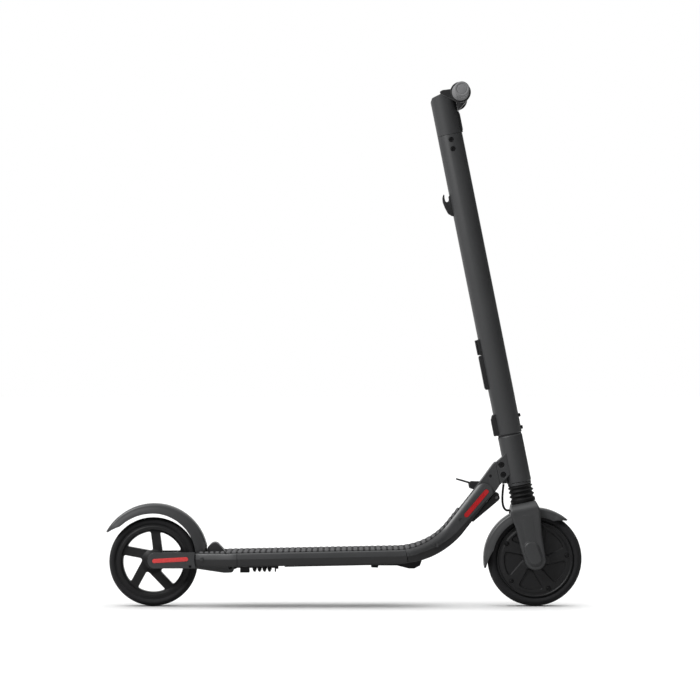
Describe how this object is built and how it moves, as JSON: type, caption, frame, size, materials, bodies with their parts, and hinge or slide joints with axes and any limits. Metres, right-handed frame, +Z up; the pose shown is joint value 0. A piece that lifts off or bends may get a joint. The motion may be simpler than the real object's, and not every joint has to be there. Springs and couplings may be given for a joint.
{
  "type": "electric scooter",
  "caption": "Stand-on electric scooter with a folding, steering stem, hub-motor front wheel, sprung fork and rear arm, ribbed deck mat, foot-brake fender and thumb levers.",
  "frame": {"origin": "on the ground, below the centre of the overall box", "axes": "+X points forward, +Y to the rider's left, +Z up; the stem is unfolded and the wheel points straight ahead"},
  "size_m": [1.0222, 0.43, 1.1189],
  "materials": {
    "painted": "satin graphite paint on aluminium",
    "plastic": "fine grained, matt",
    "rubber": "matt moulded rubber",
    "tyre": "matt solid rubber",
    "grip": "soft grey rubber",
    "steel": "bare, fine turned",
    "dark_steel": "black coated steel",
    "reflector": "glossy moulded reflector",
    "lens": "glossy dark window",
    "battery": "shrink wrap"
  },
  "bodies": {
    "chassis": {"deck_body": "painted", "deck_rear": "painted", "neck_frame": "painted", "neck_cover_right": "plastic", "neck_cover_left": "plastic", "neck_reflector_right": "reflector", "neck_reflector_left": "reflector", "deck_mat": "rubber", "neck_block": "painted", "controller_cover": "plastic", "bottom_cover": "plastic", "rear_hump": "plastic", "kickstand_bracket": "dark_steel", "spring_bracket": "dark_steel", "rear_spring": "dark_steel"},
    "pedal": {"fold_pedal": "dark_steel"},
    "latch": {"latch_hook": "steel"},
    "stand": {"kickstand_leg": "dark_steel"},
    "arm": {"rear_arm": "painted", "arm_cover_right": "painted", "arm_cover_left": "painted", "arm_reflector_right": "reflector", "arm_reflector_left": "reflector", "rear_axle": "steel"},
    "rod": {"pull_rod": "steel"},
    "rear_wheel": {"rear_rim": "plastic", "rear_tyre": "tyre"},
    "fender_brake": {"rear_fender": "painted"},
    "head": {"head_tube": "painted", "fold_bracket": "painted", "motor_cable": "rubber"},
    "stem": {"stem_tube": "painted", "battery_pack": "battery", "stem_head": "painted", "bar_clamp": "plastic", "display": "lens", "handlebar": "painted", "grip_right": "grip", "grip_left": "grip", "throttle_housing": "plastic", "brake_housing": "plastic", "bag_hook": "plastic", "charge_port": "plastic", "connector_cover": "plastic", "cable_cover": "plastic", "headlight": "lens"},
    "throttle": {"throttle_lever": "plastic"},
    "brake": {"brake_lever": "plastic"},
    "button": {"power_button": "rubber"},
    "cap": {"charge_cap": "rubber"},
    "front_fork": {"fork": "painted", "axle_cap_right": "painted", "axle_cap_left": "painted", "front_axle": "steel", "front_spring": "steel", "bellows": "rubber", "front_fender": "painted"},
    "front_wheel": {"motor_hub": "plastic", "motor_cover": "plastic", "front_tyre": "tyre"}
  },
  "joints": [
    {"name": "stem_fold", "type": "hinge", "parent": "chassis", "child": "head", "pos_m": [0.32599, 0, 0.30518], "axis": [0, -1, 0], "range_deg": [0, 83]},
    {"name": "steering", "type": "hinge", "parent": "head", "child": "stem", "pos_m": [0.4095, 0, 0.1016], "axis": [-0.1959, 0, 0.9806], "range_deg": [-45, 45]},
    {"name": "front_suspension", "type": "slide", "parent": "stem", "child": "front_fork", "axis": [-0.1959, 0, 0.9806], "range_m": [0, 0.022], "stiffness_N_per_m": 8000, "springref_m": -0.015, "deforming": ["front_spring", "bellows", "motor_cable"]},
    {"name": "front_wheel_spin", "type": "hinge", "parent": "front_fork", "child": "front_wheel", "pos_m": [0.4095, 0, 0.1016], "axis": [0, 1, 0], "continuous": true},
    {"name": "rear_suspension", "type": "hinge", "parent": "chassis", "child": "arm", "pos_m": [-0.244, 0, 0.1045], "axis": [0, 1, 0], "range_deg": [0, 6], "stiffness_Nm_per_rad": 450, "springref_deg": -2.01},
    {"name": "rod_pull", "type": "slide", "parent": "chassis", "child": "rod", "axis": [-1, 0, 0], "range_m": [0, 0.0023], "deforming": ["rear_spring"]},
    {"name": "rear_wheel_spin", "type": "hinge", "parent": "arm", "child": "rear_wheel", "pos_m": [-0.4106, 0, 0.0955], "axis": [0, 1, 0], "continuous": true},
    {"name": "fender_press", "type": "hinge", "parent": "arm", "child": "fender_brake", "pos_m": [-0.308, 0, 0.113], "axis": [0, -1, 0], "range_deg": [0, 5], "stiffness_Nm_per_rad": 8, "springref_deg": -8.59},
    {"name": "throttle_turn", "type": "hinge", "parent": "stem", "child": "throttle", "pos_m": [0.24631, 0, 1.09692], "axis": [0, -1, 0], "range_deg": [0, 25], "stiffness_Nm_per_rad": 0.3, "springref_deg": -17.19},
    {"name": "brake_turn", "type": "hinge", "parent": "stem", "child": "brake", "pos_m": [0.24631, 0, 1.09692], "axis": [0, -1, 0], "range_deg": [0, 25], "stiffness_Nm_per_rad": 0.3, "springref_deg": -17.19},
    {"name": "power_button_press", "type": "slide", "parent": "stem", "child": "button", "axis": [0.1959, 0, -0.9806], "range_m": [0, 0.0015], "stiffness_N_per_m": 400, "springref_m": -0.001},
    {"name": "charge_cap_flip", "type": "hinge", "parent": "stem", "child": "cap", "pos_m": [0.28279, 0, 0.57036], "axis": [0, 1, 0], "range_deg": [0, 100]},
    {"name": "fold_pedal_press", "type": "hinge", "parent": "chassis", "child": "pedal", "pos_m": [0.27354, 0, 0.26247], "axis": [0, -1, 0], "range_deg": [0, 15], "stiffness_Nm_per_rad": 1, "springref_deg": -22.92},
    {"name": "latch_turn", "type": "hinge", "parent": "chassis", "child": "latch", "pos_m": [0.31474, 0, 0.2765], "axis": [0, -1, 0], "range_deg": [-9, 0]},
    {"name": "kickstand_swing", "type": "hinge", "parent": "chassis", "child": "stand", "pos_m": [0.14594, 0.052, 0.084], "axis": [0, -0.9659, -0.2588], "range_deg": [0, 110]}
  ],
  "couplings": [
    {"joint": "rod_pull", "follows": "rear_suspension", "m_per_rad": 0.02},
    {"joint": "latch_turn", "follows": "fold_pedal_press", "ratio": -0.6}
  ]
}
